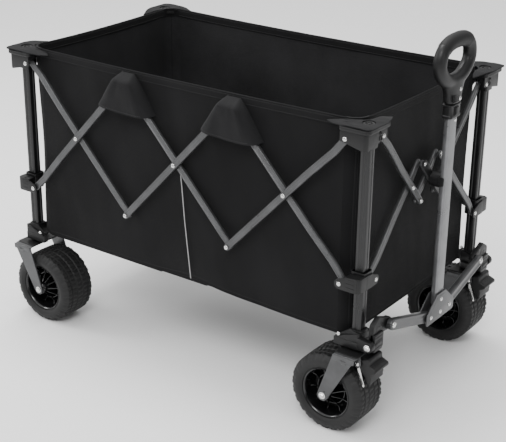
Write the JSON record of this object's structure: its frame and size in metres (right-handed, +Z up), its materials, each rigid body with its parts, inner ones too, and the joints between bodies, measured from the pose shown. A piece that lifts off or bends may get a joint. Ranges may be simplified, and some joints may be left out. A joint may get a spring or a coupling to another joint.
{
  "type": "folding camp wagon",
  "caption": "Folding pull wagon: scissor-bar frame with corner posts, fabric basket, wide wheels, front casters with brakes and a telescopic D-grip handle.",
  "frame": {"origin": "on the ground, at the middle of the outline's length and width", "axes": "+X forward towards the handle, +Y to the wagon's left, +Z up"},
  "size_m": [1.05, 0.6286, 0.833],
  "materials": {
    "painted_steel": "grey powder coat, satin",
    "black_plastic": "moulded, fine texture",
    "wheel_rubber": "dark grey, grooved tread",
    "rim_plastic": "moulded, glossy",
    "basket_fabric": "coarse woven polyester, coated",
    "cord": "braided"
  },
  "bodies": {
    "corner_rear_right": {"post_rear_right": "painted_steel", "top_bracket_rear_right": "black_plastic", "fork_rear_right": "painted_steel", "basket": "basket_fabric", "support_cord": "cord"},
    "corner_rear_left": {"post_rear_left": "painted_steel", "top_bracket_rear_left": "black_plastic", "fork_rear_left": "painted_steel"},
    "corner_front_right": {"post_front_right": "painted_steel", "top_bracket_front_right": "black_plastic"},
    "corner_front_left": {"post_front_left": "painted_steel", "top_bracket_front_left": "black_plastic"},
    "slider_front_right": {"slider_front_right": "black_plastic"},
    "slider_front_left": {"slider_front_left": "black_plastic"},
    "slider_rear_right": {"slider_rear_right": "black_plastic"},
    "slider_rear_left": {"slider_rear_left": "black_plastic"},
    "scissor_right_1_down": {"scissor_right_1_down": "painted_steel"},
    "scissor_right_1_up": {"scissor_right_1_up": "painted_steel"},
    "scissor_right_2_down": {"scissor_right_2_down": "painted_steel"},
    "scissor_right_2_up": {"scissor_right_2_up": "painted_steel"},
    "scissor_right_3_down": {"scissor_right_3_down": "painted_steel"},
    "scissor_right_3_up": {"scissor_right_3_up": "painted_steel"},
    "scissor_left_1_down": {"scissor_left_1_down": "painted_steel"},
    "scissor_left_1_up": {"scissor_left_1_up": "painted_steel"},
    "scissor_left_2_down": {"scissor_left_2_down": "painted_steel"},
    "scissor_left_2_up": {"scissor_left_2_up": "painted_steel"},
    "scissor_left_3_down": {"scissor_left_3_down": "painted_steel"},
    "scissor_left_3_up": {"scissor_left_3_up": "painted_steel"},
    "scissor_front_1_down": {"scissor_front_1_down": "painted_steel"},
    "scissor_front_1_up": {"scissor_front_1_up": "painted_steel"},
    "scissor_front_2_down": {"scissor_front_2_down": "painted_steel"},
    "scissor_front_2_up": {"scissor_front_2_up": "painted_steel"},
    "scissor_front_3_down": {"scissor_front_3_down": "painted_steel"},
    "scissor_front_3_up": {"scissor_front_3_up": "painted_steel"},
    "scissor_rear_1_down": {"scissor_rear_1_down": "painted_steel"},
    "scissor_rear_1_up": {"scissor_rear_1_up": "painted_steel"},
    "scissor_rear_2_down": {"scissor_rear_2_down": "painted_steel"},
    "scissor_rear_2_up": {"scissor_rear_2_up": "painted_steel"},
    "scissor_rear_3_down": {"scissor_rear_3_down": "painted_steel"},
    "scissor_rear_3_up": {"scissor_rear_3_up": "painted_steel"},
    "handle_elbow_front_right": {"handle_elbow_front_right": "black_plastic"},
    "handle_elbow_front_left": {"handle_elbow_front_left": "black_plastic"},
    "handle_arm_right": {"handle_arm_right": "painted_steel"},
    "handle_arm_left": {"handle_arm_left": "painted_steel"},
    "handle_base": {"handle_base": "painted_steel"},
    "handle_slide": {"handle_inner_tube": "painted_steel", "handle_grip": "black_plastic"},
    "lock_button": {"lock_button": "black_plastic"},
    "caster_front_right": {"fork_front_right": "painted_steel"},
    "brake_pedal_front_right": {"brake_pedal_front_right": "black_plastic"},
    "wheel_front_right": {"tyre_front_right": "wheel_rubber", "rim_front_right": "rim_plastic"},
    "caster_front_left": {"fork_front_left": "painted_steel"},
    "brake_pedal_front_left": {"brake_pedal_front_left": "black_plastic"},
    "wheel_front_left": {"tyre_front_left": "wheel_rubber", "rim_front_left": "rim_plastic"},
    "wheel_rear_right": {"tyre_rear_right": "wheel_rubber", "rim_rear_right": "rim_plastic"},
    "wheel_rear_left": {"tyre_rear_left": "wheel_rubber", "rim_rear_left": "rim_plastic"}
  },
  "joints": [
    {"name": "fold", "type": "hinge", "parent": "corner_rear_right", "child": "scissor_right_1_down", "pos_m": [-0.4536, -0.276, 0.66], "axis": [0, 1, 0], "range_deg": [0, 25.13], "deforming": ["basket", "support_cord"]},
    {"name": "scissor_right_1_up_pivot", "type": "hinge", "parent": "scissor_right_1_down", "child": "scissor_right_1_up", "pos_m": [-0.30773, -0.276, 0.5043], "axis": [0, 1, 0], "range_deg": [-50.26, 0]},
    {"name": "scissor_right_2_up_pivot", "type": "hinge", "parent": "scissor_right_1_down", "child": "scissor_right_2_up", "pos_m": [-0.16187, -0.276, 0.3486], "axis": [0, 1, 0], "range_deg": [-50.26, 0]},
    {"name": "scissor_right_2_down_pivot", "type": "hinge", "parent": "scissor_right_1_up", "child": "scissor_right_2_down", "pos_m": [-0.16187, -0.276, 0.66], "axis": [0, 1, 0], "range_deg": [0, 50.26]},
    {"name": "scissor_right_3_down_pivot", "type": "hinge", "parent": "scissor_right_2_up", "child": "scissor_right_3_down", "pos_m": [0.12987, -0.276, 0.66], "axis": [0, 1, 0], "range_deg": [0, 50.26]},
    {"name": "scissor_right_3_up_pivot", "type": "hinge", "parent": "scissor_right_2_down", "child": "scissor_right_3_up", "pos_m": [0.12987, -0.276, 0.3486], "axis": [0, 1, 0], "range_deg": [-50.26, 0]},
    {"name": "corner_front_right_pivot", "type": "hinge", "parent": "scissor_right_3_up", "child": "corner_front_right", "pos_m": [0.4216, -0.276, 0.66], "axis": [0, 1, 0], "range_deg": [0, 25.13]},
    {"name": "slider_rear_right_pivot", "type": "hinge", "parent": "scissor_right_1_up", "child": "slider_rear_right", "pos_m": [-0.4536, -0.276, 0.3486], "axis": [0, 1, 0], "range_deg": [0, 25.13]},
    {"name": "slider_front_right_pivot", "type": "hinge", "parent": "scissor_right_3_down", "child": "slider_front_right", "pos_m": [0.4216, -0.276, 0.3486], "axis": [0, 1, 0], "range_deg": [-25.13, 0]},
    {"name": "scissor_rear_1_down_pivot", "type": "hinge", "parent": "corner_rear_right", "child": "scissor_rear_1_down", "pos_m": [-0.489, -0.225, 0.66], "axis": [-1, 0, 0], "range_deg": [0, 25.13]},
    {"name": "scissor_rear_1_up_pivot", "type": "hinge", "parent": "scissor_rear_1_down", "child": "scissor_rear_1_up", "pos_m": [-0.489, -0.07913, 0.5043], "axis": [-1, 0, 0], "range_deg": [-50.26, 0]},
    {"name": "scissor_rear_2_up_pivot", "type": "hinge", "parent": "scissor_rear_1_down", "child": "scissor_rear_2_up", "pos_m": [-0.489, -0.03957, 0.46207], "axis": [-1, 0, 0], "range_deg": [-50.26, 0]},
    {"name": "scissor_rear_2_down_pivot", "type": "hinge", "parent": "scissor_rear_1_up", "child": "scissor_rear_2_down", "pos_m": [-0.489, -0.03957, 0.54653], "axis": [-1, 0, 0], "range_deg": [0, 50.26]},
    {"name": "scissor_rear_3_up_pivot", "type": "hinge", "parent": "scissor_rear_2_down", "child": "scissor_rear_3_up", "pos_m": [-0.489, 0.03957, 0.46207], "axis": [-1, 0, 0], "range_deg": [-50.26, 0]},
    {"name": "scissor_rear_3_down_pivot", "type": "hinge", "parent": "scissor_rear_2_up", "child": "scissor_rear_3_down", "pos_m": [-0.489, 0.03957, 0.54653], "axis": [-1, 0, 0], "range_deg": [0, 50.26]},
    {"name": "corner_rear_left_pivot", "type": "hinge", "parent": "scissor_rear_3_up", "child": "corner_rear_left", "pos_m": [-0.489, 0.225, 0.66], "axis": [-1, 0, 0], "range_deg": [0, 25.13]},
    {"name": "slider_rear_left_pivot", "type": "hinge", "parent": "scissor_rear_3_down", "child": "slider_rear_left", "pos_m": [-0.489, 0.225, 0.3486], "axis": [-1, 0, 0], "range_deg": [-25.13, 0]},
    {"name": "scissor_left_1_down_pivot", "type": "hinge", "parent": "corner_rear_left", "child": "scissor_left_1_down", "pos_m": [-0.4536, 0.276, 0.66], "axis": [0, 1, 0], "range_deg": [0, 25.13]},
    {"name": "scissor_left_1_up_pivot", "type": "hinge", "parent": "scissor_left_1_down", "child": "scissor_left_1_up", "pos_m": [-0.30773, 0.276, 0.5043], "axis": [0, 1, 0], "range_deg": [-50.26, 0]},
    {"name": "scissor_left_2_up_pivot", "type": "hinge", "parent": "scissor_left_1_down", "child": "scissor_left_2_up", "pos_m": [-0.16187, 0.276, 0.3486], "axis": [0, 1, 0], "range_deg": [-50.26, 0]},
    {"name": "scissor_left_2_down_pivot", "type": "hinge", "parent": "scissor_left_1_up", "child": "scissor_left_2_down", "pos_m": [-0.16187, 0.276, 0.66], "axis": [0, 1, 0], "range_deg": [0, 50.26]},
    {"name": "scissor_left_3_down_pivot", "type": "hinge", "parent": "scissor_left_2_up", "child": "scissor_left_3_down", "pos_m": [0.12987, 0.276, 0.66], "axis": [0, 1, 0], "range_deg": [0, 50.26]},
    {"name": "scissor_left_3_up_pivot", "type": "hinge", "parent": "scissor_left_2_down", "child": "scissor_left_3_up", "pos_m": [0.12987, 0.276, 0.3486], "axis": [0, 1, 0], "range_deg": [-50.26, 0]},
    {"name": "corner_front_left_pivot", "type": "hinge", "parent": "scissor_left_3_up", "child": "corner_front_left", "pos_m": [0.4216, 0.276, 0.66], "axis": [0, 1, 0], "range_deg": [0, 25.13]},
    {"name": "slider_front_left_pivot", "type": "hinge", "parent": "scissor_left_3_down", "child": "slider_front_left", "pos_m": [0.4216, 0.276, 0.3486], "axis": [0, 1, 0], "range_deg": [-25.13, 0]},
    {"name": "scissor_front_1_down_pivot", "type": "hinge", "parent": "corner_front_right", "child": "scissor_front_1_down", "pos_m": [0.457, -0.225, 0.66], "axis": [-1, 0, 0], "range_deg": [0, 25.13]},
    {"name": "scissor_front_1_up_pivot", "type": "hinge", "parent": "scissor_front_1_down", "child": "scissor_front_1_up", "pos_m": [0.457, -0.07913, 0.5043], "axis": [-1, 0, 0], "range_deg": [-50.26, 0]},
    {"name": "scissor_front_2_up_pivot", "type": "hinge", "parent": "scissor_front_1_down", "child": "scissor_front_2_up", "pos_m": [0.457, -0.03957, 0.46207], "axis": [-1, 0, 0], "range_deg": [-50.26, 0]},
    {"name": "scissor_front_2_down_pivot", "type": "hinge", "parent": "scissor_front_1_up", "child": "scissor_front_2_down", "pos_m": [0.457, -0.03957, 0.54653], "axis": [-1, 0, 0], "range_deg": [0, 50.26]},
    {"name": "scissor_front_3_up_pivot", "type": "hinge", "parent": "scissor_front_2_down", "child": "scissor_front_3_up", "pos_m": [0.457, 0.03957, 0.46207], "axis": [-1, 0, 0], "range_deg": [-50.26, 0]},
    {"name": "scissor_front_3_down_pivot", "type": "hinge", "parent": "scissor_front_2_up", "child": "scissor_front_3_down", "pos_m": [0.457, 0.03957, 0.54653], "axis": [-1, 0, 0], "range_deg": [0, 50.26]},
    {"name": "handle_tilt", "type": "hinge", "parent": "corner_front_right", "child": "handle_elbow_front_right", "pos_m": [0.4895, -0.2685, 0.217], "axis": [0, 1, 0], "range_deg": [0, 90]},
    {"name": "handle_elbow_left_tilt", "type": "hinge", "parent": "corner_front_left", "child": "handle_elbow_front_left", "pos_m": [0.4895, 0.2685, 0.217], "axis": [0, 1, 0], "range_deg": [0, 90]},
    {"name": "handle_arm_right_pivot", "type": "hinge", "parent": "handle_elbow_front_right", "child": "handle_arm_right", "pos_m": [0.5005, -0.2012, 0.2446], "axis": [-1, 0, 0], "range_deg": [0, 61.06]},
    {"name": "handle_arm_left_pivot", "type": "hinge", "parent": "handle_elbow_front_left", "child": "handle_arm_left", "pos_m": [0.5005, 0.2012, 0.2446], "axis": [1, 0, 0], "range_deg": [0, 61.06]},
    {"name": "handle_hub_pivot", "type": "hinge", "parent": "handle_arm_right", "child": "handle_base", "pos_m": [0.5005, -0.043, 0.197], "axis": [-1, 0, 0], "range_deg": [-61.06, 0]},
    {"name": "handle_slide", "type": "slide", "parent": "handle_base", "child": "handle_slide", "axis": [0, 0, 1], "range_m": [0, 0.3]},
    {"name": "lock_button_press", "type": "slide", "parent": "handle_base", "child": "lock_button", "axis": [-1, 0, 0], "range_m": [0, 0.002], "stiffness_N_per_m": 400, "springref_m": -0.001},
    {"name": "caster_front_right_swivel", "type": "hinge", "parent": "corner_front_right", "child": "caster_front_right", "pos_m": [0.452, -0.252, 0.21], "axis": [0, 0, 1], "continuous": true},
    {"name": "brake_front_right", "type": "hinge", "parent": "caster_front_right", "child": "brake_pedal_front_right", "pos_m": [0.471, -0.252, 0.176], "axis": [0, 1, 0], "range_deg": [0, 10]},
    {"name": "wheel_front_right_spin", "type": "hinge", "parent": "caster_front_right", "child": "wheel_front_right", "pos_m": [0.404, -0.252, 0.089], "axis": [0, 1, 0], "continuous": true},
    {"name": "caster_front_left_swivel", "type": "hinge", "parent": "corner_front_left", "child": "caster_front_left", "pos_m": [0.452, 0.252, 0.21], "axis": [0, 0, 1], "continuous": true},
    {"name": "brake_front_left", "type": "hinge", "parent": "caster_front_left", "child": "brake_pedal_front_left", "pos_m": [0.471, 0.252, 0.176], "axis": [0, 1, 0], "range_deg": [0, 10]},
    {"name": "wheel_front_left_spin", "type": "hinge", "parent": "caster_front_left", "child": "wheel_front_left", "pos_m": [0.404, 0.252, 0.089], "axis": [0, 1, 0], "continuous": true},
    {"name": "wheel_rear_right_spin", "type": "hinge", "parent": "corner_rear_right", "child": "wheel_rear_right", "pos_m": [-0.436, -0.252, 0.089], "axis": [0, 1, 0], "continuous": true},
    {"name": "wheel_rear_left_spin", "type": "hinge", "parent": "corner_rear_left", "child": "wheel_rear_left", "pos_m": [-0.436, 0.252, 0.089], "axis": [0, 1, 0], "continuous": true}
  ],
  "couplings": [
    {"joint": "scissor_right_1_up_pivot", "follows": "fold", "ratio": -2},
    {"joint": "scissor_right_2_up_pivot", "follows": "fold", "ratio": -2},
    {"joint": "scissor_right_2_down_pivot", "follows": "fold", "ratio": 2},
    {"joint": "scissor_right_3_down_pivot", "follows": "fold", "ratio": 2},
    {"joint": "scissor_right_3_up_pivot", "follows": "fold", "ratio": -2},
    {"joint": "corner_front_right_pivot", "follows": "fold", "ratio": 1},
    {"joint": "slider_rear_right_pivot", "follows": "fold", "ratio": 1},
    {"joint": "slider_front_right_pivot", "follows": "fold", "ratio": -1},
    {"joint": "scissor_rear_1_down_pivot", "follows": "fold", "ratio": 1},
    {"joint": "scissor_rear_1_up_pivot", "follows": "fold", "ratio": -2},
    {"joint": "scissor_rear_2_up_pivot", "follows": "fold", "ratio": -2},
    {"joint": "scissor_rear_2_down_pivot", "follows": "fold", "ratio": 2},
    {"joint": "scissor_rear_3_up_pivot", "follows": "fold", "ratio": -2},
    {"joint": "scissor_rear_3_down_pivot", "follows": "fold", "ratio": 2},
    {"joint": "corner_rear_left_pivot", "follows": "fold", "ratio": 1},
    {"joint": "slider_rear_left_pivot", "follows": "fold", "ratio": -1},
    {"joint": "scissor_left_1_down_pivot", "follows": "fold", "ratio": 1},
    {"joint": "scissor_left_1_up_pivot", "follows": "fold", "ratio": -2},
    {"joint": "scissor_left_2_up_pivot", "follows": "fold", "ratio": -2},
    {"joint": "scissor_left_2_down_pivot", "follows": "fold", "ratio": 2},
    {"joint": "scissor_left_3_down_pivot", "follows": "fold", "ratio": 2},
    {"joint": "scissor_left_3_up_pivot", "follows": "fold", "ratio": -2},
    {"joint": "corner_front_left_pivot", "follows": "fold", "ratio": 1},
    {"joint": "slider_front_left_pivot", "follows": "fold", "ratio": -1},
    {"joint": "scissor_front_1_down_pivot", "follows": "fold", "ratio": 1},
    {"joint": "scissor_front_1_up_pivot", "follows": "fold", "ratio": -2},
    {"joint": "scissor_front_2_up_pivot", "follows": "fold", "ratio": -2},
    {"joint": "scissor_front_2_down_pivot", "follows": "fold", "ratio": 2},
    {"joint": "scissor_front_3_up_pivot", "follows": "fold", "ratio": -2},
    {"joint": "scissor_front_3_down_pivot", "follows": "fold", "ratio": 2},
    {"joint": "handle_elbow_left_tilt", "follows": "handle_tilt", "ratio": 1},
    {"joint": "handle_arm_right_pivot", "follows": "fold", "ratio": 2.4296},
    {"joint": "handle_arm_left_pivot", "follows": "fold", "ratio": 2.4296},
    {"joint": "handle_hub_pivot", "follows": "fold", "ratio": -2.4296}
  ]
}
